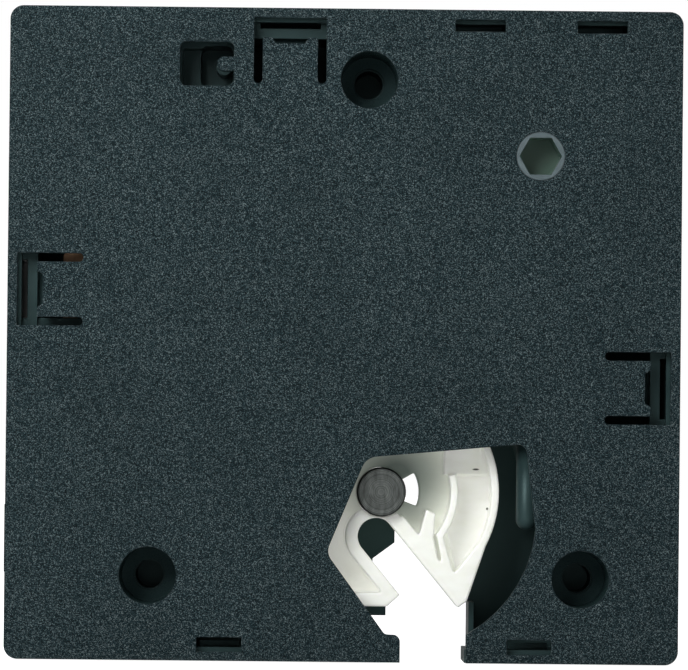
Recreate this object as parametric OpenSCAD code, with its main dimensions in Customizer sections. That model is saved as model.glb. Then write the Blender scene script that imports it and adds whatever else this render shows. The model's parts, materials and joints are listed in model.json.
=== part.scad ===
// Rotary latch isolator switch: a flat square moulded housing whose striker catch
// turns a two-pole contact rotor, with a key-turned lock bar and a signal switch.
//
// Every module is drawn lying on its mounting face: x to the right, y up and z the
// height above the mounting face. upright() then stands the finished piece on edge.

/* [Housing] */
// Width across the front face
housing_w = 100; // [99:0.5:101]
// Height of the front face
housing_h = 97; // [96.5:0.5:98]
// Thickness from the mounting face to the front face
housing_d = 25; // [25:0.5:26]
// Radius of the four upright corners
corner_r = 2; // [1:0.25:3]
// Side wall thickness of the rear housing
wall_t = 2; // [1.8:0.1:2.2]
// Floor thickness of the rear housing
floor_t = 2; // [1.8:0.1:2.1]
// Thickness of the front cover plate
cover_t = 2.2; // [2:0.1:2.4]

/* [Fixing holes] */
// Distance between the two lower fixing holes
fixing_span = 64.2; // [63:0.1:65]
// Rise from the lower fixing holes to the top one
fixing_rise = 73.9; // [73:0.1:75]
// Radius of the screw clearance holes
screw_r = 2.1; // [1.9:0.05:2.2]
// Radius of the screw head recesses at the front face
head_r = 4.25; // [4:0.05:4.4]
// Height of the screw head seats above the mounting face
seat_z = 12.5; // [11:0.5:14]

/* [Catch] */
// Radius of the steel pivot pin
pivot_r = 3.67; // [3.4:0.01:3.8]
// Running clearance between a pin or shaft and its bore
run_gap = 0.05; // [0.03:0.01:0.08]
// Angle the catch turns from open to closed
catch_angle = 75; // [70:1:75]
// Outer radius of the catch rim
rim_r = 17.6; // [17:0.1:17.8]
// Radius of the round end of the striker slot in the catch
slot_r = 2.75; // [2.5:0.05:2.8]

/* [Contacts] */
// Radius swept by the tips of the moving contacts
contact_tip_r = 16.5; // [15.5:0.1:16.5]
// Width of the moving contacts
contact_w = 4; // [3:0.1:4.4]
// Thickness of the moving contacts
contact_t = 1.4; // [1.2:0.1:1.4]

/* [Release key] */
// Across-flats size of the hexagon socket
hex_af = 5.5; // [5:0.1:5.6]
// Radius of the spindle head
spindle_r = 3.575; // [3.4:0.025:3.7]

/* [Hidden] */
$fn = 64;
eps = 0.01;
fit = 0.03;

// Colours
case_black = [0.09, 0.11, 0.12];
cover_grey = [0.18, 0.21, 0.23];
catch_white = [0.92, 0.92, 0.88];
rotor_red = [0.62, 0.16, 0.10];
steel = [0.42, 0.44, 0.44];
spring_steel = [0.70, 0.72, 0.74];
copper = [0.80, 0.52, 0.32];
tin = [0.78, 0.78, 0.74];
holder_cream = [0.80, 0.77, 0.66];
board_olive = [0.24, 0.25, 0.12];
socket_black = [0.12, 0.13, 0.14];
key_grey = [0.38, 0.43, 0.45];
rubber_black = [0.05, 0.05, 0.05];
plunger_orange = [0.85, 0.40, 0.12];

// Housing
shell_h = housing_d - cover_t;
half_w = housing_w / 2;
half_h = housing_h / 2;
inner_x = half_w - wall_t;
inner_y = half_h - wall_t;

// Fixing holes: the lower pair and the top one
fixing_low_y = -35.93;
fixing_mid_x = 3.31;
fixings = [
    [fixing_mid_x - fixing_span / 2, fixing_low_y],
    [fixing_mid_x + fixing_span / 2, fixing_low_y],
    [fixing_mid_x + 0.1, fixing_low_y + fixing_rise]
];
cup_wall = 1.5;
cup_z = seat_z - cup_wall;
skin_t = [0.4, 0.5, 0.6];
post_r = head_r + cup_wall;

// Catch heights above the mounting face
gear_z = 2.6;
gear_top_z = 5.8;
lock_top_z = 8.6;
web_top_z = 10.2;
high_web_z = 13;
plateau_z = 14.6;
rib_top_z = 19;
pin_top_z = 21.5;

// Catch layout, measured from the pivot
pivot = [5.83, -23.23];
slot_end = [-0.69, -6.63];
slot_dir = -50.5;
catch_tip = [12.93, -16.22];
rim_t = 1.15;
rim_low_a = -27;
rim_high_a = 45;
inner_rib_a = 14;
web_r = 17.4;
foot_y = -17.1;
hub_notch_r = 5.85;
hub_notch_a = [-21, 30];
lock_disc_r = 17;
hub_r = 6.5;

// Gears between the catch and the contact rotor
gear_module = 1;
sector_teeth = 36;
rotor_teeth = 30;
gear_pressure = 20;
mesh_a = 135;
sector_pitch_r = gear_module * sector_teeth / 2;
rotor_pitch_r = gear_module * rotor_teeth / 2;
gear_centres = sector_pitch_r + rotor_pitch_r;
rotor = pivot + gear_centres * [cos(mesh_a), sin(mesh_a)];
sector_low_a = mesh_a - catch_angle - 12;
sector_high_a = mesh_a + 12;
backlash = 0.12;

// Rotor
shaft_r = 2.5;
rotor_hub_r = 6.5;
cam_r = 9;
cam_lobe_r = 12.6;
cam_top_z = 9.4;
rotor_top_z = 19;
pole_z = [11.5, 17.3];
contact_eye_r = 4;
jaw_gap = 0.08;
jaw_half_h = 1.7;
strip_w = 2;
strip_t = 0.8;
strip_gap = 0.05;
jaw_in = 13.5;
jaw_out = 18.6;
holder_out = 20.8;
load_arc_r = 19.6;
holder_half_w = 3.6;

// Power socket in the left wall
socket_out_x = -50.3;
power_y = [-35.69, -25.61];
power_z = [8.6, 20.6];
power_back_x = -42.6;
line_blade_y = -32.9;
load_blade_y = -28.4;
line_run_x = -37.3;
load_run_x = -41;
load_turn_y = 11.35;
blade_x = -48;
socket_wall = 1.1;

// Signal board, switch and socket
board_z = 4.4;
board_t = 1.6;
board_top_z = board_z + board_t;
board_pegs = [[-45, 19.5], [-9.8, 19.5], [-9.8, 34], [-35.4, 34]];
peg_r = 0.9;
signal_y = [27.86, 35.96];
signal_z = [board_top_z, 13.6];
signal_back_x = -41.5;
signal_pitch = 1.8;
switch_size = [12.8, 6.8, 4.5];
switch_y = 13.7;
plunger_w = 2.4;
plunger_z = 8;
plunger_travel = 0.6;

// Release spindle and lock bar
spindle = [28.96, 26.87];
pinion_teeth = 10;
pinion_module = 0.8;
pinion_pressure = 25;
pinion_pitch_r = pinion_module * pinion_teeth / 2;
spindle_angle = 90;
lock_travel = pinion_pitch_r * spindle_angle * PI / 180;
bar_z = 6.2;
bar_t = 2;
rack_x = spindle[0] - pinion_pitch_r;
bar_w = 4.4;
rack_root_x = rack_x - pinion_module * 1.1;
bar_left_x = rack_root_x - bar_w;
bar_top_y = 37;
nose_w = 3;
nose_lock_y = 13;
notch_w = nose_w + 0.5;
notch_r = 12.5;
nose_rest_y = pivot[1] + nose_lock_y + lock_travel;
arm_low_y = 4;
arm_h = 5;
guide_y = [12, 22.5];
spring_seat_y = -6.5;
spring_x = 21.7;
strap_t = 0.5;

// Snap tongues in the cover: outer width, slot width, length and window depth
tongue_w = 10.77;
tongue_slot = 1.28;
tongue_len = 6.8;
tongue_window = 2.95;
tongue_root = 11.2;
tongues = [
    [[-8.4, half_h - tongue_root], 0],
    [[-half_w + tongue_root, 6.37], 90],
    [[half_w - tongue_root, -7.49], -90]
];

// Rectangular slots along the edges: middle x, width, lower y, upper y
edge_slots = [
    [19.87, 7.44, 45.3, 47.03],
    [38.0, 7.44, 45.2, 47.03],
    [-18.1, 6.7, -47.17, -45],
    [27.9, 6.6, -47.17, -45]
];

// Access window and striker mouth in the cover: x, y and corner radius
mouth_x = [8.75, 18.55];
window_corners = [
    [mouth_x[0], -half_h - 1, 0], [mouth_x[0], -44.45, 1], [6.5, -44.35, 0.8],
    [-2.3, -32.33, 2.2], [3.5, -18.15, 2.5], [27.17, -15.9, 1.3],
    [28.72, -28.6, 2], [27.7, -39, 19.8], [mouth_x[1], -44.28, 0.3],
    [mouth_x[1], -half_h - 1, 0]
];

// Striker opening in the floor of the rear housing
rear_slot_x = [8.15, 19.1];
rear_slot_r = (rear_slot_x[1] - rear_slot_x[0]) / 2;
rear_slot_top = -21.5;
rear_opening = [
    [rear_slot_x[1], -half_h - 1], [rear_slot_x[1], rear_slot_top],
    [rear_slot_x[0], rear_slot_top], [rear_slot_x[0], -30.95], [4.85, -33.4],
    [4.85, -39.4], [6.85, -40.45], [6.85, -41.95], [2.5, -41.95], [2.5, -43.9],
    [6.4, -46.6], [6.4, -half_h - 1]
];

// ---- Shared shapes ----

module upright() {
    rotate([90, 0, 0]) children();
}

// Extrusion of a 2D shape between two heights
module slab(low, high) {
    translate([0, 0, low]) linear_extrude(high - low) children();
}

// Box given by its x, y and z spans
module block(x, y, z) {
    translate([x[0], y[0], z[0]]) cube([x[1] - x[0], y[1] - y[0], z[1] - z[0]]);
}

// Span of a size either side of a middle value
function span(mid, half) = [mid - half, mid + half];

// Cylinder at a point between two heights
module post(p, r, low, high) {
    translate([p[0], p[1], low]) cylinder(r = r, h = high - low);
}

module round_rect(x, y, r) {
    translate([x[0] + r, y[0]]) square([x[1] - x[0] - 2 * r, y[1] - y[0]]);
    translate([x[0], y[0] + r]) square([x[1] - x[0], y[1] - y[0] - 2 * r]);
    for (cx = [x[0] + r, x[1] - r]) for (cy = [y[0] + r, y[1] - r])
        translate([cx, cy]) circle(r);
}

function polar(r, a) = r * [cos(a), sin(a)];

// Wedge of the plane between two angles, out to at least radius r
module wedge(r, a0, a1) {
    steps = ceil((a1 - a0) / 45);
    reach = 1.2 * r;
    rim = [for (i = [0:steps]) polar(reach, a0 + (a1 - a0) * i / steps)];
    polygon(concat([[0, 0]], rim));
}

module disc_sector(r, a0, a1) {
    intersection() {
        circle(r, $fn = 128);
        wedge(r, a0, a1);
    }
}

module ring_sector(r0, r1, a0, a1) {
    difference() {
        disc_sector(r1, a0, a1);
        circle(r0, $fn = 128);
    }
}

// Points of a polygon whose corners [x, y, r] are rounded
function unit(v) = v / norm(v);
function corner_arc(a, b, c) =
    let (
        p = [b[0], b[1]],
        u = unit([a[0], a[1]] - p),
        v = unit([c[0], c[1]] - p),
        half = acos(min(1, max(-1, u * v))) / 2,
        d = b[2] / tan(half),
        centre = p + unit(u + v) * b[2] / sin(half),
        s = p + u * d - centre,
        e = p + v * d - centre,
        a0 = atan2(s[1], s[0]),
        turn = atan2(s[0] * e[1] - s[1] * e[0], s * e),
        n = max(3, ceil(abs(turn) / 8))
    )
    [for (i = [0:n]) centre + polar(b[2], a0 + turn * i / n)];
function rounded(c) = [
    for (i = [0:len(c) - 1])
        let (a = c[(i + len(c) - 1) % len(c)], b = c[i], d = c[(i + 1) % len(c)])
        each (b[2] == 0 ? [[b[0], b[1]]] : corner_arc(a, b, d))
];

// Flat strip of width w along a list of points
module strip(points, w) {
    for (i = [0:len(points) - 2]) {
        d = points[i + 1] - points[i];
        translate(points[i]) rotate(atan2(d[1], d[0]))
            translate([0, -w / 2]) square([norm(d), w]);
    }
    for (i = [1:len(points) - 2]) translate(points[i]) circle(w / 2);
}

// Involute tooth flank angle at radius r
function involute(r, base) = r <= base ? 0 :
    tan(acos(base / r)) * 180 / PI - acos(base / r);
function tooth_half(r, m, n, pressure) =
    let (pitch = m * n / 2, base = pitch * cos(pressure))
    90 / n - backlash / (2 * pitch) * 180 / PI
        + involute(pitch, base) - involute(r, base);
function tooth(m, n, pressure, add, ded, a) =
    let (
        pitch = m * n / 2,
        low = pitch - ded,
        high = pitch + add,
        radii = [for (i = [0:5]) low + (high - low) * i / 5]
    )
    concat(
        [for (r = radii) polar(r, a - tooth_half(r, m, n, pressure))],
        [for (i = [5:-1:0])
            polar(radii[i], a + tooth_half(radii[i], m, n, pressure))]
    );
function gear_outline(m, n, pressure, add, ded, a) = [
    for (i = [0:n - 1]) each tooth(m, n, pressure, add, ded, a + 360 * i / n)
];

// Round wire swept along a list of points
wire_sides = 8;
function frame_point(p, t, r, a) =
    let (
        side = unit(cross(t, abs(t[2]) > 0.9 ? [1, 0, 0] : [0, 0, 1])),
        up = cross(side, t)
    )
    p + r * (cos(a) * side + sin(a) * up);
module wire(path, r) {
    last = len(path) - 1;
    rings = [
        for (i = [0:last])
            let (t = unit(path[min(i + 1, last)] - path[max(i - 1, 0)]))
            for (k = [0:wire_sides - 1])
                frame_point(path[i], t, r, 360 * k / wire_sides)
    ];
    sides = [
        for (i = [0:last - 1]) for (k = [0:wire_sides - 1])
            let (a = i * wire_sides, b = a + wire_sides, n = (k + 1) % wire_sides)
            each [[a + k, a + n, b + n], [a + k, b + n, b + k]]
    ];
    caps = [
        [for (k = [wire_sides - 1:-1:0]) k],
        [for (k = [0:wire_sides - 1]) last * wire_sides + k]
    ];
    polyhedron(rings, concat(sides, caps), convexity = 10);
}

// ---- Housing ----

module case_outline(inset = 0) {
    r = max(corner_r - inset, 0.5);
    round_rect([inset - half_w, half_w - inset], [inset - half_h, half_h - inset], r);
}

// Snap ledge that a cover tongue hooks under, seen as the tongue points up
ledge_y = [6.9, 8.4];
ledge_z = [18.6, 20.6];
module tongue_ledge() {
    block([-5, 5], ledge_y, ledge_z);
    for (side = [-1, 1]) block(span(side * 5, 0.5),
        [ledge_y[0], tongue_root - wall_t + eps], [floor_t - eps, ledge_z[1]]);
}

// Slot through the floor beside the left snap ledge, which vents the housing
module ledge_gap() {
    block([-47.67, -47.22], [1.9, 10.84], [-1, floor_t + 1]);
}

// Moulded cable anchor below the hooked window
anchor_x = [-25.6, -15.6];
anchor_y = [36.6, 44.4];
anchor_top_z = 19;
module cable_anchor() {
    difference() {
        block(anchor_x, anchor_y, [floor_t, anchor_top_z]);
        slab(9, anchor_top_z + 1) round_rect([-21.8, -16.9], [37.2, 43.1], 1.1);
        slab(14, anchor_top_z + 1) round_rect([-24.5, -20], [37.2, 42.7], 0.5);
    }
    slab(6, 16.5) translate([-18.3, 40.1]) circle(1.2);
}

// Wall round the sweep of the catch tip with a rounded lip along its top
guard_r = [21.2, 23.4];
guard_top_z = 21;
lip_x = 27.5;
lip_r = 1.6;
module catch_guard() {
    translate(pivot) slab(floor_t - eps, guard_top_z)
        ring_sector(guard_r[0], guard_r[1], -12, 25);
    translate([lip_x, -27, guard_top_z]) rotate([-90, 0, 0]) rotate_extrude()
        polygon([[0, 0], [0.9, 0], [1.4, 0.5], [lip_r, 1.2], [lip_r, 11.5],
            [0, 11.5]]);
}

// Guides that keep the lock bar straight, and the seat of its spring
guide_wall = 2;
module lock_guides() {
    guide_x = bar_left_x - 0.3;
    block([guide_x - guide_wall, guide_x], guide_y, [floor_t - eps, bar_z + bar_t + 0.3]);
    block([guide_x - eps, guide_x + 3.5], guide_y, [floor_t - eps, bar_z - 0.1]);
    block(span(spring_x, 1.8), [spring_seat_y - 1.5, spring_seat_y],
        [floor_t - eps, bar_z + bar_t + 0.8]);
}

module board_posts() {
    for (p = board_pegs) {
        post(p, 2 * peg_r, floor_t - eps, board_z);
        post(p, peg_r, board_z - eps, board_top_z + 0.6);
    }
}

module rear_housing() color(case_black) upright() difference() {
    union() {
        difference() {
            slab(0, shell_h) case_outline();
            slab(floor_t, shell_h + 1) case_outline(wall_t);
        }
        for (p = fixings) post(p, post_r, floor_t - eps, cup_z);
        post(rotor, 5, floor_t - eps, gear_z - 0.1);
        post(spindle, 3.6, floor_t - eps, bar_z - 0.1);
        for (t = tongues) translate(t[0]) rotate(t[1]) tongue_ledge();
        for (s = edge_slots) edge_peg(s);
        cable_anchor();
        catch_guard();
        lock_guides();
        board_posts();
        block([-48.1, power_back_x], power_y, [floor_t - eps, power_z[0] - fit]);
        // Shelf under the lower slot of the left snap tongue, over the contact strips
        block([-48.1, -38.6], [0.2, 2.2], [18.2, 19.4]);
        // Rib along the right of the striker mouth and stop bar under the catch
        block([rear_slot_x[1], 19.9], [-half_h + 1, -39.6], [floor_t - eps, 16]);
        block([18.75, 19.5], [-half_h + 1, -44.6], [14, shell_h]);
        block([-2, 6.85], [-41.95, -40.45], [floor_t - eps, gear_top_z - 0.4]);
    }
    slab(-1, floor_t + eps) polygon(rear_opening);
    post([rear_slot_x[0] + rear_slot_r, rear_slot_top], rear_slot_r, -1, floor_t + eps);
    block([6.4, 18.35], [-half_h - 1, -half_h + wall_t + eps], [-1, shell_h + 1]);
    // Screw holes, each closed by a thin skin that the screw breaks through
    for (i = [0:2]) post(fixings[i], screw_r, skin_t[i], cup_z + 1);
    post(pivot, pivot_r + fit, -1, floor_t + 1);
    post(rotor, shaft_r + fit, 0.6, floor_t + 1);
    post(spindle, 2 + run_gap, floor_t + 0.5, bar_z + 1);
    ledge_gap();
    socket_hole(power_y, power_z);
    socket_hole(signal_y, signal_z);
}

module socket_hole(y, z) {
    block([-half_w - 1, -inner_x + eps], y + fit * [-1, 1], z + fit * [-1, 1]);
}

// Upright peg seen through an edge slot of the cover, with a gap at both ends
module edge_peg(s) {
    side = sign(s[2]);
    y = side > 0 ? [s[2] + 0.6, inner_y + eps] : [-inner_y - eps, s[3] - 0.6];
    block([s[0] - s[1] / 2 + 0.35, s[0] + s[1] / 2 - 0.35], y, [floor_t, 17]);
}

// ---- Cover ----

// Openings round one snap tongue, seen as the tongue points up
module tongue_opening() {
    end_y = tongue_root - 1.4;
    for (side = [-1, 1]) {
        mid = side * (tongue_w - tongue_slot) / 2;
        translate([mid - tongue_slot / 2, tongue_slot / 2])
            square([tongue_slot, end_y - tongue_slot / 2]);
        translate([mid, tongue_slot / 2]) circle(tongue_slot / 2);
    }
    translate([-tongue_w / 2, tongue_len]) square([tongue_w, tongue_window]);
    polygon([[-2.7, tongue_len + eps], [-2.2, tongue_len - 0.85],
        [2.2, tongue_len - 0.85], [2.7, tongue_len + eps]]);
}

// Leg and barb below the end of a snap tongue
module tongue_hook() {
    block([-4, 4], [tongue_len - 2.2, tongue_len - 1.2], [16.6, shell_h + eps]);
    block([-4, 4], [tongue_len - 1.4, ledge_y[1] - 0.2], [17, ledge_z[0] - 0.15]);
}

module hook_window() {
    difference() {
        round_rect([-24.75, -16.7], [36.81, 43.4], 1);
        translate([-18.2, 40.12]) circle(1.07);
        translate([-18.2, 39.05]) square([3, 2.14]);
    }
}

module screw_cup(p) {
    translate([p[0], p[1], seat_z])
        cylinder(r1 = head_r - 0.15, r2 = head_r, h = housing_d - seat_z + eps);
    post(p, screw_r + 0.2, cup_z - 1, seat_z + 1);
}

module front_cover() color(cover_grey) upright() difference() {
    union() {
        slab(shell_h, housing_d) case_outline();
        for (p = fixings) post(p, post_r, cup_z, shell_h + eps);
        for (t = tongues) translate(t[0]) rotate(t[1]) tongue_hook();
        // Peg that holds the fixed end of the catch spring
        post(rotor + [-6.1, -4.5], 1, 20, shell_h + eps);
        // Collar that holds the spindle seal
        difference() {
            post(spindle, 6, 20.9, shell_h + eps);
            post(spindle, 4.9, 20, shell_h + 1);
        }
    }
    for (p = fixings) screw_cup(p);
    slab(shell_h - 1, housing_d + 1) polygon(rounded(window_corners));
    for (t = tongues) slab(shell_h - 1, housing_d + 1)
        translate(t[0]) rotate(t[1]) tongue_opening();
    for (s = edge_slots)
        block([s[0] - s[1] / 2, s[0] + s[1] / 2], [s[2], s[3]],
            [shell_h - 1, housing_d + 1]);
    slab(shell_h - 1, housing_d + 1) hook_window();
    post(spindle, spindle_r + run_gap, shell_h - 1, housing_d + 1);
}

// ---- Catch ----

module pivot_pin() color(steel) upright() {
    post(pivot, pivot_r, 0, pin_top_z - 0.25);
    translate([pivot[0], pivot[1], pin_top_z - 0.25 - eps])
        cylinder(r1 = pivot_r, r2 = pivot_r - 0.25, h = 0.25);
}

module striker_slot() {
    translate(slot_end) {
        circle(slot_r);
        rotate(slot_dir) translate([0, -slot_r]) square([20, 2 * slot_r]);
    }
}

// Outline of the right limb, from the hub to its tip
module right_limb() {
    low = polar(rim_r, rim_low_a);
    inside = polar(rim_r - 1, rim_low_a + 6);
    polygon([[0, 1], inside, low, catch_tip, [11.6, -17.2], slot_end]);
    disc_sector(rim_r, rim_low_a, rim_high_a);
}

// Whole outline of the catch seen from the front, before the slot is cut
module catch_outline() {
    difference() {
        union() {
            right_limb();
            disc_sector(web_r, 0, 295);
        }
        translate([-20, foot_y - 5]) square([40, 5]);
        polygon([[3.2, -15.1], [0.9, -17.2], [0.9, -19], [6.5, -19], [6.5, -15.1]]);
    }
}

// Ribs that stand up from the web: slot walls, foot bar, rim and stiffeners
module catch_ribs() {
    limb_wall = 2.3;
    intersection() {
        translate(slot_end) {
            circle(slot_r + 1.9);
            rotate(slot_dir) translate([0, -slot_r - 1.88])
                square([20, 2 * slot_r + 1.88 + limb_wall]);
        }
        catch_outline();
    }
    intersection() {
        translate([-8, foot_y]) square([10, 2.05]);
        catch_outline();
    }
    ring_sector(rim_r - rim_t, rim_r, rim_low_a, rim_high_a);
    polygon([polar(rim_r - 0.3, rim_low_a + 3), polar(rim_r, rim_low_a), catch_tip,
        [11.6, -17.2], [10.6, -15.9], [11.5, -14.4], [11, -12.1],
        polar(rim_r - rim_t, rim_low_a), polar(rim_r - rim_t + 0.3, rim_low_a + 3)]);
    ring_sector(10.4, 11.5, -38, inner_rib_a);
    polygon([[6.75, -2.55], [8.15, -3.2], [7.9, -6.9], [8.5, -9.5], [5.6, -7]]);
    polygon([[8.3, -6.2], [9.35, -6.7], [11, -12.2], [12, -15.2], [10.3, -14.6],
        [9.3, -11]]);
}

module catch_fork() color(catch_white) upright() translate(pivot) difference() {
    union() {
        slab(gear_z, lock_top_z) circle(hub_r);
        slab(gear_z, gear_top_z) sector_gear();
        slab(gear_top_z - eps, lock_top_z) lock_disc();
        slab(gear_top_z, lock_top_z + eps) striker_limbs();
        slab(lock_top_z - eps, web_top_z) catch_outline();
        slab(web_top_z - eps, high_web_z) raised_web();
        slab(high_web_z - eps, plateau_z) {
            plateau();
            pocket_floor();
        }
        slab(web_top_z - eps, rib_top_z) catch_ribs();
    }
    slab(0, pin_top_z) striker_slot();
    slab(0, pin_top_z) difference() {
        disc_sector(hub_notch_r, hub_notch_a[0], hub_notch_a[1]);
        circle(pivot_r);
    }
    slab(0, pin_top_z) circle(pivot_r + run_gap);
    slab(plateau_z - 1, plateau_z + 1) translate([14.2, 3.5]) rotate(4)
        round_rect([-0.5, 0.5], [-0.14, 0.14], 0.13);
}

// Teeth that turn the contact rotor
module sector_gear() {
    pitch = 360 / sector_teeth;
    first = ceil((sector_low_a - mesh_a) / pitch);
    last = floor((sector_high_a - mesh_a) / pitch);
    ring_sector(12.5, sector_pitch_r - 1.2, mesh_a + (first - 0.5) * pitch,
        mesh_a + (last + 0.5) * pitch);
    for (i = [first:last])
        polygon(tooth(gear_module, sector_teeth, gear_pressure, 0.95, 1.3,
            mesh_a + i * pitch));
}

// Disc with two notches, where the lock bar drops in open or closed
module lock_disc() {
    difference() {
        disc_sector(lock_disc_r, 0, 180);
        for (a = [0, -catch_angle]) rotate(a)
            translate([-notch_w / 2, notch_r]) square([notch_w, 10]);
    }
}

// Full-depth walls that the striker bears on
module striker_limbs() {
    intersection() {
        catch_ribs();
        translate([-9, -20]) square([24, 17]);
    }
}

module raised_web() {
    intersection() {
        union() {
            ring_sector(10.4, rim_r, -40, inner_rib_a);
            polygon([polar(10.6, -36), polar(16, -20), [18, -8], [14, -17],
                [10.9, -13.5]]);
            pocket_floor();
            plateau();
        }
        catch_outline();
    }
}

module plateau() {
    intersection() {
        translate([9.4, 2.6]) square([9, 10]);
        disc_sector(rim_r - 0.5, 0, rim_high_a);
    }
}

// Raised floor between the slot wall and the curved rib
module pocket_floor() {
    polygon([[7.6, -6.6], [9.8, -5.6], [11.6, -12.4], [10.4, -14.8], [8, -9.4]]);
}

// ---- Contact rotor ----

module rotor_shaft() color(steel) upright() post(rotor, shaft_r, 0.6, 20.4);

// Retaining ring in a groove at the top of the shaft
module rotor_clip() color(spring_steel) upright() translate(rotor)
    slab(rotor_top_z + 0.1, rotor_top_z + 0.7) difference() {
        circle(4);
        circle(shaft_r + fit);
        translate([-1, 0]) square([2, 6]);
    }

module contact_rotor() color(rotor_red) upright() translate(rotor) difference() {
    union() {
        slab(gear_z, gear_top_z) polygon(gear_outline(gear_module, rotor_teeth,
            gear_pressure, 0.95, 1.3, mesh_a + 180 + 180 / rotor_teeth));
        slab(gear_top_z - eps, cam_top_z) {
            circle(cam_r);
            ring_sector(cam_r - 1, cam_lobe_r, 60, 120);
        }
        slab(cam_top_z - eps, rotor_top_z) circle(rotor_hub_r);
        slab(14.1, 15.1) circle(9.5);
        slab(18.2, rotor_top_z) circle(8.6);
        // Peg that winds up the moving end of the catch spring
        post([5.9, -4.5], 0.8, rotor_top_z - eps, 20.6);
    }
    post([0, 0], shaft_r + run_gap, 0, 22);
    for (z = pole_z) {
        block(span(0, contact_w / 2 + fit), [-9, 9], span(z, contact_t / 2 + fit));
        post([0, 0], contact_eye_r + fit, z - contact_t / 2 - fit,
            z + contact_t / 2 + fit);
    }
}

// Contact bar through the hub, upright when the switch is open
module moving_contact(z) color(copper) upright() translate(rotor)
    slab(z - contact_t / 2, z + contact_t / 2) difference() {
        union() {
            intersection() {
                circle(contact_tip_r, $fn = 128);
                square([contact_w, 40], center = true);
            }
            circle(contact_eye_r);
        }
        circle(shaft_r + 0.3);
    }
module moving_contact_back() moving_contact(pole_z[0]);
module moving_contact_front() moving_contact(pole_z[1]);

// Fork-shaped jaw that a moving contact slides into, on the +x side of the rotor
module jaw(z) {
    difference() {
        block([jaw_in, jaw_out], [-2.5, 2.5], [z - jaw_half_h, z + jaw_half_h]);
        block([jaw_in - 1, contact_tip_r + 0.5], [-4, 4],
            [z - contact_t / 2 - jaw_gap, z + contact_t / 2 + jaw_gap]);
    }
}

// Left jaw with its strip down to the lower blade of the power socket
module line_contact(z) color(copper) upright() {
    translate(rotor) mirror([1, 0, 0]) jaw(z);
    slab(z - strip_t / 2, z + strip_t / 2) strip([
        [rotor[0] - jaw_out + 0.2, rotor[1]], [line_run_x, rotor[1]],
        [line_run_x, line_blade_y], [blade_x, line_blade_y]
    ], strip_w);
}
module line_contact_back() line_contact(pole_z[0]);
module line_contact_front() line_contact(pole_z[1]);

module load_arc(half_w, high_a) {
    ring_sector(load_arc_r - half_w, load_arc_r + half_w, -2, high_a);
}

// Right jaw with its strip over the rotor and down to the upper blade
module load_contact(z) color(copper) upright() {
    translate(rotor) jaw(z);
    translate(rotor) slab(z - strip_t / 2, z + strip_t / 2) {
        translate([jaw_out - 0.2, -strip_w / 2])
            square([load_arc_r - jaw_out + 0.9, strip_w]);
        load_arc(strip_w / 2, 146);
    }
    slab(z - strip_t / 2, z + strip_t / 2) strip([
        rotor + polar(load_arc_r, 145), [load_run_x, load_turn_y],
        [load_run_x, load_blade_y], [blade_x, load_blade_y]
    ], strip_w);
}
module load_contact_back() load_contact(pole_z[0]);
module load_contact_front() load_contact(pole_z[1]);

// Insulating comb round both jaws on the +x side of the rotor
module contact_holder() {
    difference() {
        block([jaw_in + 0.1, holder_out], span(0, holder_half_w), [floor_t, 19.8]);
        cylinder(r = rotor_pitch_r + 1.5, h = lock_top_z);
        for (z = pole_z) {
            block([jaw_in - 1, jaw_out + strip_gap], [-5, 5],
                span(z, jaw_half_h + strip_gap));
            block([jaw_out - 1, holder_out + 1], span(0, strip_w / 2 + strip_gap),
                span(z, strip_t / 2 + strip_gap));
        }
    }
}
module contact_holder_right() color(holder_cream) upright() translate(rotor)
    difference() {
        contact_holder();
        for (z = pole_z) slab(z - strip_t / 2 - strip_gap, z + strip_t / 2 + strip_gap)
            load_arc(strip_w / 2 + strip_gap, 30);
    }
module contact_holder_left() color(holder_cream) upright()
    translate(rotor) mirror([1, 0, 0]) difference() {
        contact_holder();
        for (z = pole_z)
            block([jaw_out + strip_gap, holder_out + 1],
                [-holder_half_w - 1, strip_w / 2],
                span(z, strip_t / 2 + strip_gap));
    }

// Torsion spring: two straight legs and a close coil round the top of the hub
module catch_spring() color(spring_steel) upright() translate(rotor) {
    r = 4.7;
    low = 20;
    rise = 0.85;
    turns = 2.5;
    steps = 40;
    coil = [for (i = [0:steps])
        let (a = 360 * turns * i / steps)
        [r * cos(a), r * sin(a), low + rise * a / 360]];
    high = low + rise * turns;
    path = concat([[r, -7, low]], coil, [[-r, -7, high]]);
    wire(path, 0.35);
}

// ---- Power socket ----

module power_socket() color(socket_black) upright() difference() {
    block([socket_out_x, power_back_x], power_y, power_z);
    block([socket_out_x - 1, power_back_x - 1.2], power_y + socket_wall * [1, -1],
        power_z + socket_wall * [1, -1]);
    for (y = [line_blade_y, load_blade_y]) for (z = pole_z)
        block([power_back_x - 2, power_back_x + 1],
            span(y, strip_w / 2 + fit), span(z, strip_t / 2 + fit));
}

// ---- Signal board ----

module board_outline() {
    translate([-47.4, 17.4]) square([39.4, 19]);
    translate([-42, 8.5]) square([5, 10]);
}

signal_pin_x = -39.6;
signal_pin_z = 7.9;
function signal_pin_y(i) = (signal_y[0] + signal_y[1]) / 2 + (i - 1.5) * signal_pitch;
switch_pin_x = [-4.5, 0, 4.5];
switch_pin_y = 19;

module signal_board() color(board_olive) upright() difference() {
    slab(board_z, board_top_z) board_outline();
    for (p = board_pegs) post(p, peg_r + run_gap, 0, 10);
    for (i = [0:3]) post([signal_pin_x, signal_pin_y(i)], 0.5, 0, 10);
    for (x = switch_pin_x) post([rotor[0] + x, switch_pin_y], 0.5, 0, 10);
}

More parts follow.
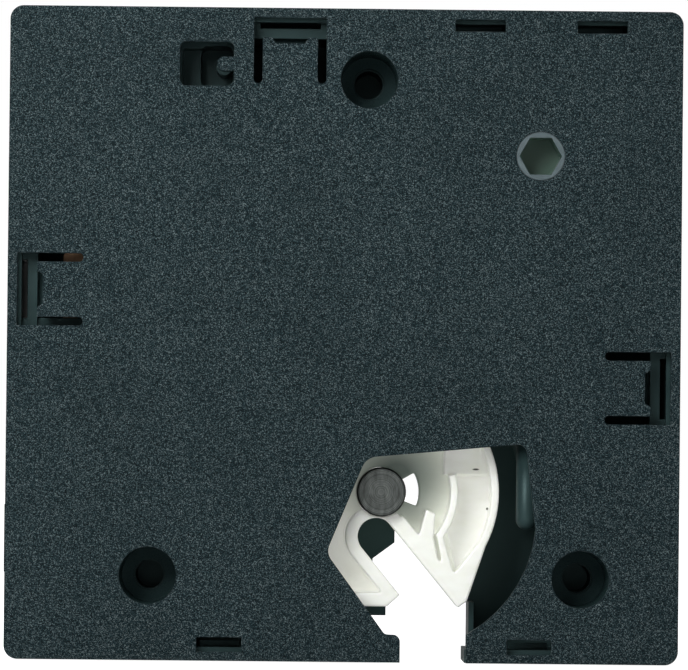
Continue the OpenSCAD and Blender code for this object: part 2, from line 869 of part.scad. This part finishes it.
module signal_socket() color(socket_black) upright() difference() {
    block([socket_out_x, signal_back_x], signal_y, signal_z);
    block([socket_out_x - 1, signal_back_x - 1.2], signal_y + 0.9 * [1, -1],
        signal_z + 0.9 * [1, -1]);
    for (i = [0:3]) block([signal_back_x - 2, signal_back_x + 1],
        span(signal_pin_y(i), 0.35), span(signal_pin_z, 0.35));
}

// Angled header pins from the socket down through the board
module signal_pins() color(tin) upright() for (i = [0:3]) {
    y = signal_pin_y(i);
    block([blade_x, signal_pin_x + 0.3], span(y, 0.3), span(signal_pin_z, 0.3));
    block(span(signal_pin_x, 0.3), span(y, 0.3), [3.4, signal_pin_z + 0.3]);
}

// Snap-action switch with its plunger towards the cam of the rotor
module switch_body() color(socket_black) upright() difference() {
    translate([rotor[0] - switch_size[0] / 2, switch_y, board_top_z + 0.1])
        cube(switch_size);
    block(span(rotor[0], plunger_w / 2 + 0.05), [switch_y - 1, switch_y + 3],
        span(plunger_z, plunger_w / 2 + 0.05));
}

module switch_plunger() color(plunger_orange) upright()
    block(span(rotor[0], plunger_w / 2),
        [rotor[1] + cam_lobe_r + 0.1, switch_y + 3 - plunger_travel - 0.1],
        span(plunger_z, plunger_w / 2));

module switch_terminals() color(tin) upright()
    for (x = switch_pin_x) post([rotor[0] + x, switch_pin_y], 0.45, 3.2,
        board_top_z + 0.1);

// ---- Release spindle and lock ----

module release_spindle() color(key_grey) upright() translate(spindle) difference() {
    union() {
        post([0, 0], 2, 3, bar_z);
        slab(bar_z, bar_z + bar_t + 0.4) polygon(gear_outline(pinion_module,
            pinion_teeth, pinion_pressure, 0.7, 0.95, 180 + 180 / pinion_teeth));
        post([0, 0], 3, bar_z + bar_t + 0.3, 17);
        post([0, 0], spindle_r, 16.9, housing_d - 0.1);
        post([0, 0], 4.7, 19.4, 20.8);
    }
    translate([0, 0, 17.5])
        cylinder(r = hex_af / 2 / cos(30), h = 10, $fn = 6);
}

module spindle_seal() color(rubber_black) upright() translate(spindle)
    rotate_extrude() translate([4.25, 21.6]) circle(0.6, $fn = 24);

// Bar with a rack at its top end and a locking nose at its lower end
module lock_bar() color(steel) upright() slab(bar_z, bar_z + bar_t) {
    nose_left = pivot[0] - nose_w / 2;
    translate([bar_left_x, arm_low_y]) square([bar_w, bar_top_y - arm_low_y]);
    translate([nose_left, arm_low_y]) square([bar_left_x + 1 - nose_left, arm_h]);
    translate([nose_left, nose_rest_y]) square([nose_w, arm_low_y + 1 - nose_rest_y]);
    pitch = PI * pinion_module;
    slope = tan(pinion_pressure);
    half = pitch / 4 - backlash / 2;
    for (i = [-1:3]) translate([rack_x, spindle[1] + i * pitch])
        polygon([[-0.9, -half - 0.9 * slope], [0.6, -half + 0.6 * slope],
            [0.6, half - 0.6 * slope], [-0.9, half + 0.9 * slope]]);
}

// Sheet metal strap over the lock bar, clipped to the guide
module lock_bar_keeper() color(spring_steel) upright() {
    low = bar_z + bar_t + 0.31;
    block([bar_left_x - 2.5, bar_left_x + 3.6], guide_y + [1, -1],
        [low, low + strap_t]);
}

// Compression spring that lifts the lock bar, standing along y
module lock_spring() color(spring_steel) upright() {
    coils = 5;
    steps = 80;
    wire_r = 0.25;
    low = spring_seat_y + wire_r + 0.02;
    high = arm_low_y - wire_r - 0.02;
    path = [for (i = [0:steps])
        let (a = 360 * coils * i / steps)
        [spring_x + 1.1 * cos(a), low + (high - low) * i / steps,
            bar_z + bar_t / 2 + 1.1 * sin(a)]];
    wire(path, wire_r);
}

rear_housing();
front_cover();
pivot_pin();
catch_fork();
contact_rotor();
moving_contact_front();
moving_contact_back();
rotor_shaft();
rotor_clip();
catch_spring();
contact_holder_left();
contact_holder_right();
line_contact_front();
line_contact_back();
load_contact_front();
load_contact_back();
power_socket();
signal_board();
signal_socket();
signal_pins();
switch_body();
switch_plunger();
switch_terminals();
release_spindle();
spindle_seal();
lock_bar();
lock_bar_keeper();
lock_spring();
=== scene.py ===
"""Looks for the rotary latch isolator switch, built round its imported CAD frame.

Row frame, metres: +X right, +Z up, -Y towards the viewer. mm() turns a place on the
mounting face (x right, y up, z height above it) into the row frame.
"""

import json
import math

import bmesh
import bpy
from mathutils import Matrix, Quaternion, Vector

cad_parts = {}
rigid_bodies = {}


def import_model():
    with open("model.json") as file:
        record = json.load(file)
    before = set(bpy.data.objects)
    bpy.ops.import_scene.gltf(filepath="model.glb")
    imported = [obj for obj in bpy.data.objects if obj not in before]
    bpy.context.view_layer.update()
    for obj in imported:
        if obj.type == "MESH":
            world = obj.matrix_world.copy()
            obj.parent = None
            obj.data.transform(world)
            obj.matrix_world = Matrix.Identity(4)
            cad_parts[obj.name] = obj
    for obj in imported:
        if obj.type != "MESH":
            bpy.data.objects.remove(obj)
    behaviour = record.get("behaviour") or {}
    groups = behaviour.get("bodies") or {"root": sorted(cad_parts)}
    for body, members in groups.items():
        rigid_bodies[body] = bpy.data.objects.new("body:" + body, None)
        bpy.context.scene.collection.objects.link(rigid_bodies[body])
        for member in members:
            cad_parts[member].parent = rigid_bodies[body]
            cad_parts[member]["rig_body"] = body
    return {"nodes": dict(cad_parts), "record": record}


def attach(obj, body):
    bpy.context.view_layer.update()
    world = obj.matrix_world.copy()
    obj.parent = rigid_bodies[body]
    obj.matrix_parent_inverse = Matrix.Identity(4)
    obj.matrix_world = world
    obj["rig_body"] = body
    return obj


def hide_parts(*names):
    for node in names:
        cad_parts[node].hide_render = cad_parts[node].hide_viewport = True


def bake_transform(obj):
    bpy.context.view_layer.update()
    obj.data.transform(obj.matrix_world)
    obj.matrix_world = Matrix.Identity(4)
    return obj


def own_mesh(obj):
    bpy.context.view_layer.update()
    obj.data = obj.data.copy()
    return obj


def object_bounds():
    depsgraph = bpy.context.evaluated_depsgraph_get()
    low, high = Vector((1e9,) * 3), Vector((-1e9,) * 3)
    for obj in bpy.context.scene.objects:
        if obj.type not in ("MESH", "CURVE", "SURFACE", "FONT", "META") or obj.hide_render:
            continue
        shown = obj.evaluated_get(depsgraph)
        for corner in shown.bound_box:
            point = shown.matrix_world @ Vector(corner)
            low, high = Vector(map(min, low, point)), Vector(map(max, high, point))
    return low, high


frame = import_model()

CAD_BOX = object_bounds()
MM = 0.001

# Centres of the turned parts, as x and y on the mounting face
PIVOT = (5.83, -23.23)
ROTOR = (-17.505, 0.105)
SPINDLE = (28.96, 26.87)
FACE_Z = 25.0


def mm(x, y, z):
    """A place on the mounting face, in millimetres, as a point in the row frame."""
    return Vector((x * MM, -z * MM, y * MM))


# ---------------------------------------------------------------- materials


class Look:
    """A node material: a principled shader and short calls that wire nodes to it."""

    def __init__(self, name, colour, roughness, metallic=0.0, edge=0.12):
        self.material = bpy.data.materials.new(name)
        self.material.use_nodes = True
        self.tree = self.material.node_tree
        self.shader = self.tree.nodes["Principled BSDF"]
        self.set("Base Color", (*colour, 1.0))
        self.set("Roughness", roughness)
        self.set("Metallic", metallic)
        self.place = self.tree.nodes.new("ShaderNodeTexCoord").outputs["Object"]
        self.normal = None
        if edge:
            self.normal = self.node("ShaderNodeBevel", Radius=edge * MM).outputs["Normal"]
            self.link(self.normal, self.shader.inputs["Normal"])

    def set(self, socket, value):
        self.shader.inputs[socket].default_value = value

    def node(self, kind, **values):
        made = self.tree.nodes.new(kind)
        for key, value in values.items():
            if hasattr(made, key):
                setattr(made, key, value)
            else:
                made.inputs[key.replace("_", " ")].default_value = value
        return made

    def link(self, source, target):
        self.tree.links.new(source, target)

    def scaled(self, x, y, z):
        """Object coordinates in units of x, y and z metres."""
        mapping = self.node("ShaderNodeMapping")
        mapping.inputs["Scale"].default_value = (1 / x, 1 / y, 1 / z)
        self.link(self.place, mapping.inputs["Vector"])
        return mapping.outputs["Vector"]

    def noise(self, size, detail=2.0, rough=0.5, stretch=(1, 1, 1)):
        """Noise whose blobs are about size metres across."""
        made = self.node("ShaderNodeTexNoise", Scale=1.0, Detail=detail, Roughness=rough)
        self.link(self.scaled(*(size * s for s in stretch)), made.inputs["Vector"])
        return made.outputs["Fac"]

    def cells(self, size, randomness=1.0):
        """A random number for each cell about size metres across."""
        made = self.node("ShaderNodeTexVoronoi", Scale=1.0, Randomness=randomness)
        self.link(self.scaled(size, size, size), made.inputs["Vector"])
        split = self.node("ShaderNodeSeparateColor")
        self.link(made.outputs["Color"], split.inputs["Color"])
        return split.outputs["Red"]

    def ramp(self, fac, stops):
        """Colour ramp of (position, colour or grey level) stops."""
        made = self.node("ShaderNodeValToRGB")
        elements = made.color_ramp.elements
        while len(elements) < len(stops):
            elements.new(0.5)
        for element, (position, value) in zip(elements, stops):
            element.position = position
            grey = isinstance(value, (int, float))
            element.color = (value, value, value, 1) if grey else (*value, 1)
        self.link(fac, made.inputs["Fac"])
        return made.outputs["Color"]

    def spread(self, fac, low, high, to_low=0.0, to_high=1.0):
        """Map low..high to to_low..to_high, clamped."""
        made = self.node("ShaderNodeMapRange")
        for socket, value in zip(
            ("From Min", "From Max", "To Min", "To Max"), (low, high, to_low, to_high)
        ):
            made.inputs[socket].default_value = value
        self.link(fac, made.inputs["Value"])
        return made.outputs["Result"]

    def sum(self, a, b, operation="ADD"):
        """Join two values, or a value and a number, by a maths operation."""
        made = self.node("ShaderNodeMath", operation=operation)
        for socket, value in zip(made.inputs, (a, b)):
            if isinstance(value, (int, float)):
                socket.default_value = value
            else:
                self.link(value, socket)
        return made.outputs[0]

    def blend(self, kind, fac, a, b):
        """Mix colour b over a."""
        made = self.node("ShaderNodeMix", data_type="RGBA", blend_type=kind)
        sockets = (made.inputs[0], made.inputs[6], made.inputs[7])
        for socket, value in zip(sockets, (fac, a, b)):
            if isinstance(value, (int, float)):
                socket.default_value = value
            elif isinstance(value, tuple):
                socket.default_value = (*value, 1)
            else:
                self.link(value, socket)
        return made.outputs[2]

    def height(self):
        """The object coordinate across the face: 0 at the back, -0.025 at the face."""
        parts = self.node("ShaderNodeSeparateXYZ")
        self.link(self.place, parts.inputs[0])
        return parts.outputs["Y"]

    def colour(self, value):
        self.link(value, self.shader.inputs["Base Color"])

    def rough(self, value):
        self.link(value, self.shader.inputs["Roughness"])

    def bump(self, height, depth, strength=1.0):
        """Relief of depth metres, laid over what was bumped before."""
        made = self.node("ShaderNodeBump", Distance=depth, Strength=strength)
        self.link(height, made.inputs["Height"])
        if self.normal is not None:
            self.link(self.normal, made.inputs["Normal"])
        self.normal = made.outputs["Normal"]
        self.link(self.normal, self.shader.inputs["Normal"])

    def centred(self, centre):
        """Object coordinates measured from a turned part's axis."""
        mapping = self.node("ShaderNodeMapping")
        mapping.inputs["Location"].default_value = -mm(*centre, 0)
        self.link(self.place, mapping.inputs["Vector"])
        return mapping.outputs["Vector"]


def polar_of(look, centre):
    """Distance from a turned part's axis, angle in radians round it, place along it."""
    parts = look.node("ShaderNodeSeparateXYZ")
    look.link(look.centred(centre), parts.inputs[0])
    squares = [look.sum(parts.outputs[i], 2.0, "POWER") for i in ("X", "Z")]
    radius = look.sum(look.sum(*squares), 0.5, "POWER")
    angle = look.sum(parts.outputs["Z"], parts.outputs["X"], "ARCTAN2")
    return radius, angle, parts.outputs["Y"]


def below_face(*depths):
    """Object coordinates at these depths in millimetres below the face."""
    return [(depth - FACE_Z) * MM for depth in depths]


def cover_look():
    """Spark-eroded charcoal plastic: fine bright and dark grains over a flat face."""
    look = Look("cover_charcoal", (0.03, 0.04, 0.043), 0.6, edge=0.2)
    look.set("Specular IOR Level", 0.16)
    look.set("Specular Tint", (0.62, 0.96, 1.0, 1.0))
    fine = look.cells(0.00009)
    coarse = look.cells(0.00014)
    grain = look.sum(look.sum(fine, 0.62, "MULTIPLY"), look.sum(coarse, 0.38, "MULTIPLY"))
    base = look.ramp(grain, [
        (0.18, (0.0001, 0.0008, 0.0014)), (0.46, (0.0026, 0.0066, 0.0088)),
        (0.66, (0.014, 0.027, 0.032)), (0.88, (0.122, 0.151, 0.156))])
    broad = look.noise(0.02, detail=3.0)
    toned = look.blend("MULTIPLY", 1.0, base, look.ramp(broad, [(0.3, 0.87), (0.7, 1.06)]))
    # Faint double arc scuffed round the key by its handle
    radius, angle, _ = polar_of(look, SPINDLE)
    band = look.ramp(look.spread(radius, 0.0120, 0.0140), [
        (0.30, 0.0), (0.38, 1.0), (0.46, 0.0), (0.54, 0.0), (0.62, 0.8), (0.70, 0.0)])
    sweep = look.ramp(look.spread(angle, 1.1, 2.75), [
        (0.0, 0.0), (0.3, 0.8), (0.8, 1.0), (1.0, 0.0)])
    scuff = look.sum(look.sum(band, sweep, "MULTIPLY"), 0.42, "MULTIPLY")
    toned = look.blend("MIX", scuff, toned, (0.002, 0.004, 0.005))
    # Walls of its holes and slots are smoother than the face, and painted a lighter flat tone:
    # painted light standing in for the light that reaches into them
    inside = look.spread(look.height(), *below_face(0.07, 0.4))
    look.colour(look.blend("MIX", inside, toned, (0.020, 0.040, 0.041)))
    look.rough(look.sum(look.spread(grain, 0.2, 0.8, 0.72, 0.5),
                        look.sum(inside, 0.26, "MULTIPLY"), "SUBTRACT"))
    look.bump(grain, 0.00002, 0.5)
    return look.material


def case_look():
    """Smooth moulded black plastic with a slight orange peel and dusty variation."""
    look = Look("case_black", (0.008, 0.0105, 0.0115), 0.36, edge=0.2)
    look.set("Specular IOR Level", 0.27)
    look.set("Specular Tint", (0.62, 0.92, 0.92, 1.0))
    peel = look.noise(0.0012, detail=2.0)
    cloud = look.noise(0.009, detail=4.0)
    look.colour(look.ramp(cloud, [(0.3, (0.016, 0.031, 0.032)), (0.7, (0.024, 0.044, 0.045))]))
    look.rough(look.spread(cloud, 0.3, 0.7, 0.28, 0.40))
    look.bump(peel, 0.00003, 0.35)
    look.bump(look.noise(0.00028), 0.000025, 0.5)
    return look.material


def acetal_look():
    """Natural white acetal: painted shade makes the low web greyer than the tall ribs and darker
    near the pin.
    """
    look = Look("acetal_white", (0.84, 0.83, 0.77), 0.4, edge=0)
    look.set("Subsurface Weight", 0.25)
    look.set("Subsurface Radius", (0.9, 1.0, 0.75))
    look.set("Subsurface Scale", 0.0009)
    web, ribs = 9.5, 18.5
    height = look.spread(look.height(), -web * MM, -ribs * MM)
    # Painted shade: the low web is painted greyer than the rib tops, standing in for the shade deep
    # in the pocket
    tone_with_painted_shade = look.ramp(height, [
        (0.0, (0.76, 0.785, 0.715)), (0.10, (0.865, 0.87, 0.83)), (0.45, (0.855, 0.86, 0.835)),
        (0.62, (0.87, 0.885, 0.835)), (1.0, (0.905, 0.925, 0.875))])
    # Painted shade: a dark patch centred up and right of the pin, applied only on the low web
    painted_shade_centre = (PIVOT[0] + 2.4, PIVOT[1] + 2.2)
    radius, _, _ = polar_of(look, painted_shade_centre)
    shade = look.ramp(look.spread(radius, 0.0020, 0.0105), [
        (0.0, (0.13, 0.16, 0.15)), (0.35, (0.40, 0.44, 0.415)), (0.75, (0.85, 0.87, 0.835)),
        (1.0, (1.0, 1.0, 1.0))])
    low = look.ramp(height, [(0.15, 1.0), (0.40, 0.0)])
    tone_with_painted_shade = look.blend("MULTIPLY", low, tone_with_painted_shade, shade)
    # Painted shade: a small dark mark in the plateau where a tiny slit lies in shade, and a dark
    # speck on the rim
    for x, y, half_x, half_y in ((14.2, 3.5, 0.5, 0.14), (16.0, -2.4, 0.16, 0.2)):
        centre = mm(PIVOT[0] + x, PIVOT[1] + y, 0)
        moved = look.node("ShaderNodeMapping")
        moved.inputs["Location"].default_value = (
            -centre.x / (half_x * MM), 0, -centre.z / (half_y * MM))
        moved.inputs["Scale"].default_value = (1 / (half_x * MM), 0, 1 / (half_y * MM))
        look.link(look.place, moved.inputs["Vector"])
        reach = look.node("ShaderNodeVectorMath", operation="LENGTH")
        look.link(moved.outputs["Vector"], reach.inputs[0])
        mark = look.ramp(look.spread(reach.outputs["Value"], 0.0, 2.0),
                         [(0.35, 1.0), (0.6, 0.0)])
        tone_with_painted_shade = look.blend("MIX", mark, tone_with_painted_shade, (0.05, 0.05, 0.035))
    flow = look.noise(0.004, detail=3.0, stretch=(1, 1, 0.4))
    marks = look.ramp(flow, [(0.25, (0.93, 0.925, 0.90)), (0.75, (1.0, 1.0, 1.0))])
    # The colour carries the painted shade above and is also used as the colour of the painted glow
    colour_with_painted_shade = look.blend("MULTIPLY", 1.0, tone_with_painted_shade, marks)
    look.colour(colour_with_painted_shade)
    # Painted glow: the low web emits its own colour, a painted light that lifts it where the cover
    # shades it
    look.link(colour_with_painted_shade, look.shader.inputs["Emission Color"])
    painted_glow = look.ramp(height, [(0.1, 0.35), (0.35, 0.14), (0.6, 0.15), (0.9, 0.10)])
    look.link(painted_glow, look.shader.inputs["Emission Strength"])
    look.rough(look.spread(flow, 0.3, 0.7, 0.34, 0.48))
    look.bump(look.noise(0.0008), 0.00002, 0.4)
    return look.material


def turned_steel_look(name, centre, tone, ring=0.00022):
    """Steel turned about an axis: fine rings round the centre on its end face."""
    look = Look(name, tone, 0.38, metallic=1.0)
    radius, _, along = polar_of(look, centre)
    uneven = look.sum(look.noise(0.0022, detail=3.0), 2.2 * ring, "MULTIPLY")
    line = look.node("ShaderNodeCombineXYZ")
    look.link(look.sum(look.sum(radius, uneven), ring, "DIVIDE"), line.inputs["X"])
    look.link(look.sum(along, 0.0008, "DIVIDE"), line.inputs["Y"])
    rings = look.node("ShaderNodeTexNoise", Scale=1.0, Detail=3.0, Roughness=0.6)
    look.link(line.outputs[0], rings.inputs["Vector"])
    stain = look.noise(0.0018, detail=5.0, rough=0.65, stretch=(0.5, 1, 1.6))
    dark = tuple(0.6 * c for c in tone)
    light = tuple(min(1.0, 1.5 * c) for c in tone)
    ringed = look.ramp(rings.outputs["Fac"], [(0.35, dark), (0.65, light)])
    look.colour(look.blend("MULTIPLY", 1.0, ringed, look.ramp(stain, [(0.35, 0.62), (0.65, 1.12)])))
    look.rough(look.spread(rings.outputs["Fac"], 0.3, 0.7, 0.3, 0.5))
    look.bump(rings.outputs["Fac"], 0.00001, 0.4)
    return look.material


def metal_look(name, dark, light, rough, size=0.003, stretch=(1, 1, 1), depth=0.000012):
    """Rolled or drawn metal: streaks along its length and a little tarnish."""
    look = Look(name, light, rough, metallic=1.0)
    streak = look.noise(size, detail=5.0, rough=0.6, stretch=stretch)
    look.colour(look.ramp(streak, [(0.3, dark), (0.7, light)]))
    look.rough(look.spread(streak, 0.3, 0.7, rough + 0.1, rough - 0.06))
    look.bump(look.noise(0.0004, stretch=stretch), depth, 0.6)
    return look.material


def plastic_look(name, dark, light, rough=0.45, grain=0.0006, depth=0.00002):
    """Plain moulded plastic with a fine grain and a little unevenness of tone."""
    look = Look(name, light, rough)
    cloud = look.noise(0.006, detail=4.0)
    look.colour(look.ramp(cloud, [(0.3, dark), (0.7, light)]))
    look.rough(look.spread(cloud, 0.3, 0.7, rough + 0.06, rough - 0.06))
    look.bump(look.noise(grain), depth, 0.5)
    return look.material


def key_look():
    """Blue-grey moulding that lets a little light through."""
    look = Look("key_grey", (0.13, 0.19, 0.21), 0.4)
    look.set("Subsurface Weight", 0.4)
    look.set("Subsurface Radius", (0.7, 1.0, 1.0))
    look.set("Subsurface Scale", 0.001)
    cloud = look.noise(0.0025, detail=4.0)
    tone = look.ramp(cloud, [(0.3, (0.054, 0.082, 0.091)), (0.7, (0.090, 0.126, 0.137))])
    # Painted light: deeper down the socket the colour turns a lighter olive, standing in for the
    # dim light that comes through there
    depth = look.spread(look.height(), *below_face(0.5, 3.5))
    look.colour(look.blend("MIX", depth, tone, (0.085, 0.165, 0.125)))
    look.bump(look.noise(0.0005), 0.00002, 0.5)
    return look.material


def board_look():
    """Olive solder mask over a faint glass weave."""
    look = Look("board_olive", (0.10, 0.11, 0.05), 0.35)
    weave = [look.node("ShaderNodeTexWave", Scale=1.0, wave_type="BANDS",
                       bands_direction=axis, Distortion=0.4) for axis in "XZ"]
    for wave in weave:
        look.link(look.scaled(0.002, 0.002, 0.002), wave.inputs["Vector"])
    cross = look.sum(*(wave.outputs["Fac"] for wave in weave))
    cloud = look.noise(0.005, detail=3.0)
    base = look.ramp(cloud, [(0.3, (0.075, 0.08, 0.035)), (0.7, (0.14, 0.15, 0.07))])
    look.colour(look.blend("MULTIPLY", 0.3, base, look.ramp(cross, [(0.3, 0.8), (0.9, 1.0)])))
    look.bump(cross, 0.00001, 0.5)
    return look.material


LOOKS = {
    "cover_grey": cover_look(),
    "case_black": case_look(),
    "catch_white": acetal_look(),
    "pin_steel": turned_steel_look("pin_steel", PIVOT, (0.105, 0.115, 0.110), ring=0.00012),
    "spring_steel": metal_look("spring_steel", (0.42, 0.43, 0.44), (0.66, 0.67, 0.69), 0.3),
    "rotor_red": plastic_look("rotor_red", (0.30, 0.055, 0.035), (0.42, 0.085, 0.05)),
    "copper": metal_look("copper", (0.20, 0.125, 0.075), (0.52, 0.33, 0.21), 0.38),
    "holder_cream": plastic_look("holder_cream", (0.56, 0.50, 0.36), (0.72, 0.67, 0.52)),
    "socket_black": plastic_look("socket_black", (0.007, 0.011, 0.011),
                                 (0.015, 0.021, 0.022), rough=0.36),
    "board_olive": board_look(),
    "tin": metal_look("tin", (0.50, 0.49, 0.45), (0.72, 0.72, 0.68), 0.35, size=0.001),
    "key_grey": key_look(),
    "rubber": plastic_look("rubber", (0.008, 0.008, 0.008), (0.018, 0.018, 0.018), rough=0.75),
    "plunger_orange": plastic_look("plunger_orange", (0.55, 0.17, 0.03), (0.75, 0.28, 0.06)),
}
SHAFT_STEEL = turned_steel_look("shaft_steel", ROTOR, (0.42, 0.43, 0.43))
BAR_STEEL = metal_look("bar_steel", (0.30, 0.31, 0.32), (0.52, 0.53, 0.54), 0.34,
                       stretch=(0.15, 1, 1))

SLOTS = {part["node"]: part["material_slot"] for part in frame["record"]["subparts"]}
OWN_LOOK = {"rotor_shaft": SHAFT_STEEL, "lock_bar": BAR_STEEL}


def look_of(node):
    return OWN_LOOK.get(node) or LOOKS[SLOTS[node]]


# ---------------------------------------------------------------- moulded pieces


def clean_copy(node):
    """A welded copy of a CAD node's mesh with plain normals and its own look."""
    mesh = frame["nodes"][node].data.copy()
    shape = bmesh.new()
    shape.from_mesh(mesh)
    bmesh.ops.remove_doubles(shape, verts=shape.verts, dist=2e-6)
    bmesh.ops.dissolve_degenerate(shape, dist=2e-6, edges=shape.edges)
    shape.to_mesh(mesh)
    shape.free()
    if "custom_normal" in mesh.attributes:
        mesh.attributes.remove(mesh.attributes["custom_normal"])
    mesh.materials.clear()
    mesh.materials.append(look_of(node))
    return mesh


def placed(node, mesh):
    """A visual piece with this mesh, riding with a CAD node and standing for it."""
    piece = bpy.data.objects.new(node + "_moulded", mesh)
    bpy.context.scene.collection.objects.link(piece)
    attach(piece, frame["nodes"][node]["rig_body"])
    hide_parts(node)
    return piece


def softened(node, grid, passes, keep=1.0):
    """A CAD node with every edge and root rounded, from a fine grid then smoothed."""
    mesh = clean_copy(node)
    rough = bpy.data.objects.new("rough", mesh)
    bpy.context.scene.collection.objects.link(rough)
    remesh = rough.modifiers.new("grid", "REMESH")
    remesh.mode = "VOXEL"
    remesh.voxel_size = grid * MM
    remesh.use_smooth_shade = True
    smooth = rough.modifiers.new("smooth", "SMOOTH")
    smooth.factor = 0.5
    smooth.iterations = passes
    if keep < 1.0:
        fewer = rough.modifiers.new("fewer", "DECIMATE")
        fewer.ratio = keep
    done = bpy.data.meshes.new_from_object(
        rough.evaluated_get(bpy.context.evaluated_depsgraph_get()))
    bpy.data.objects.remove(rough)
    bpy.data.meshes.remove(mesh)
    for polygon in done.polygons:
        polygon.use_smooth = True
    done.materials.clear()
    done.materials.append(look_of(node))
    return placed(node, done)


for name, node in frame["nodes"].items():
    node.data.materials.clear()
    node.data.materials.append(look_of(name))
softened("catch_fork", grid=0.16, passes=6, keep=0.35)


def plain_copy(node):
    """A smooth-shaded copy of a CAD node, standing for it and attached to no body."""
    mesh = clean_copy(node)
    for polygon in mesh.polygons:
        polygon.use_smooth = True
    piece = bpy.data.objects.new(node + "_moving", mesh)
    bpy.context.scene.collection.objects.link(piece)
    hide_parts(node)
    return piece


def moving_springs():
    """Smooth-shaded copies of the two springs: the catch spring fixed in place, the lock spring
    riding with its body.
    """
    catch = plain_copy("catch_spring")
    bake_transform(catch)
    lock = plain_copy("lock_spring")
    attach(lock, frame["nodes"]["lock_spring"]["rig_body"])
    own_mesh(lock)


def guard_lip():
    """Smooth rounded lip along the top of the wall beside the catch."""
    x, z, radius, low, high = 27.5, 21.0, 1.62, -28.7, -15.5
    rings, sides = 12, 40
    rows = [(low + radius * (1 - math.cos(math.radians(90 * i / rings))),
             radius * math.sin(math.radians(90 * i / rings))) for i in range(rings + 1)]
    rows.append((high, radius))
    verts = [mm(x + r * math.cos(2 * math.pi * k / sides), y,
                z + r * math.sin(2 * math.pi * k / sides))
             for y, r in rows[1:] for k in range(sides)]
    faces = [(i * sides + k, i * sides + (k + 1) % sides,
              (i + 1) * sides + (k + 1) % sides, (i + 1) * sides + k)
             for i in range(len(rows) - 2) for k in range(sides)]
    tip = len(verts)
    verts.append(mm(x, low, z))
    end = len(verts)
    verts.append(mm(x, high, z))
    last = (len(rows) - 2) * sides
    for k in range(sides):
        faces.append((tip, (k + 1) % sides, k))
        faces.append((end, last + k, last + (k + 1) % sides))
    mesh = bpy.data.meshes.new("guard_lip")
    mesh.from_pydata(verts, [], faces)
    shape = bmesh.new()
    shape.from_mesh(mesh)
    bmesh.ops.recalc_face_normals(shape, faces=shape.faces)
    shape.to_mesh(mesh)
    shape.free()
    for polygon in mesh.polygons:
        polygon.use_smooth = len(polygon.vertices) == 4
    mesh.materials.append(LOOKS["case_black"])
    lip = bpy.data.objects.new("guard_lip", mesh)
    bpy.context.scene.collection.objects.link(lip)
    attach(lip, frame["nodes"]["rear_housing"]["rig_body"])


moving_springs()
guard_lip()

# ---------------------------------------------------------------- stage


def area_light(name, place, size, power):
    """A square white lamp of size metres, aimed at the origin."""
    data = bpy.data.lights.new(name, "AREA")
    data.shape = "RECTANGLE"
    data.size = data.size_y = size
    data.energy = power
    lamp = bpy.data.objects.new(name, data)
    lamp.location = place
    lamp.rotation_mode = "QUATERNION"
    lamp.rotation_quaternion = Vector(place).to_track_quat("Z", "Y")
    bpy.context.scene.collection.objects.link(lamp)


def make_floor():
    """A large pale floor just under the object's lower edge."""
    half = 6.0
    low = CAD_BOX[0].z - 0.0002
    mesh = bpy.data.meshes.new("floor")
    mesh.from_pydata([(-half, -half, low), (half, -half, low), (half, half, low),
                      (-half, half, low)], [], [(0, 1, 2, 3)])
    floor = bpy.data.objects.new("floor", mesh)
    bpy.context.scene.collection.objects.link(floor)
    look = Look("floor_paper", (0.93, 0.93, 0.925), 0.9, edge=0)
    look.colour(look.ramp(look.noise(0.3), [(0.3, 0.91), (0.7, 0.94)]))
    seen = look.node("ShaderNodeLightPath").outputs["Is Camera Ray"]
    look.set("Emission Color", (1.0, 1.0, 1.0, 1.0))
    look.link(look.sum(seen, 0.95, "MULTIPLY"), look.shader.inputs["Emission Strength"])
    mesh.materials.append(look.material)


def make_world(strength):
    """A pure white room that lights the object more softly than it looks."""
    world = bpy.data.worlds.new("studio")
    world.use_nodes = True
    nodes, links = world.node_tree.nodes, world.node_tree.links
    path = nodes.new("ShaderNodeLightPath")
    level = nodes.new("ShaderNodeMapRange")
    level.inputs["To Min"].default_value = strength
    level.inputs["To Max"].default_value = 1.0
    links.new(path.outputs["Is Camera Ray"], level.inputs["Value"])
    nodes["Background"].inputs["Color"].default_value = (1, 1, 1, 1)
    links.new(level.outputs["Result"], nodes["Background"].inputs["Strength"])
    bpy.context.scene.world = world


def make_camera():
    """Long lens, level with the lower part of the face and aimed at its centre."""
    distance, roll = 0.95, 0.593
    data = bpy.data.cameras.new("camera")
    data.sensor_width = 36.0
    data.lens = 335.1
    data.clip_start, data.clip_end = 0.01, 50.0
    camera = bpy.data.objects.new("camera", data)
    camera.location = (-0.006, -FACE_Z * MM - distance, -0.02)
    away = camera.location - Vector((0.0, -FACE_Z * MM, 0.0))
    camera.rotation_mode = "QUATERNION"
    camera.rotation_quaternion = away.to_track_quat("Z", "Y") @ Quaternion(
        (0, 0, 1), math.radians(roll))
    bpy.context.scene.collection.objects.link(camera)
    bpy.context.scene.camera = camera


make_floor()
make_world(0.28)
area_light("key", (-0.17, -0.40, 0.20), 0.24, 1.75)
area_light("fill", (0.55, -1.1, -0.1), 0.4, 1.6)
make_camera()
bpy.context.scene.view_settings.view_transform = "Standard"
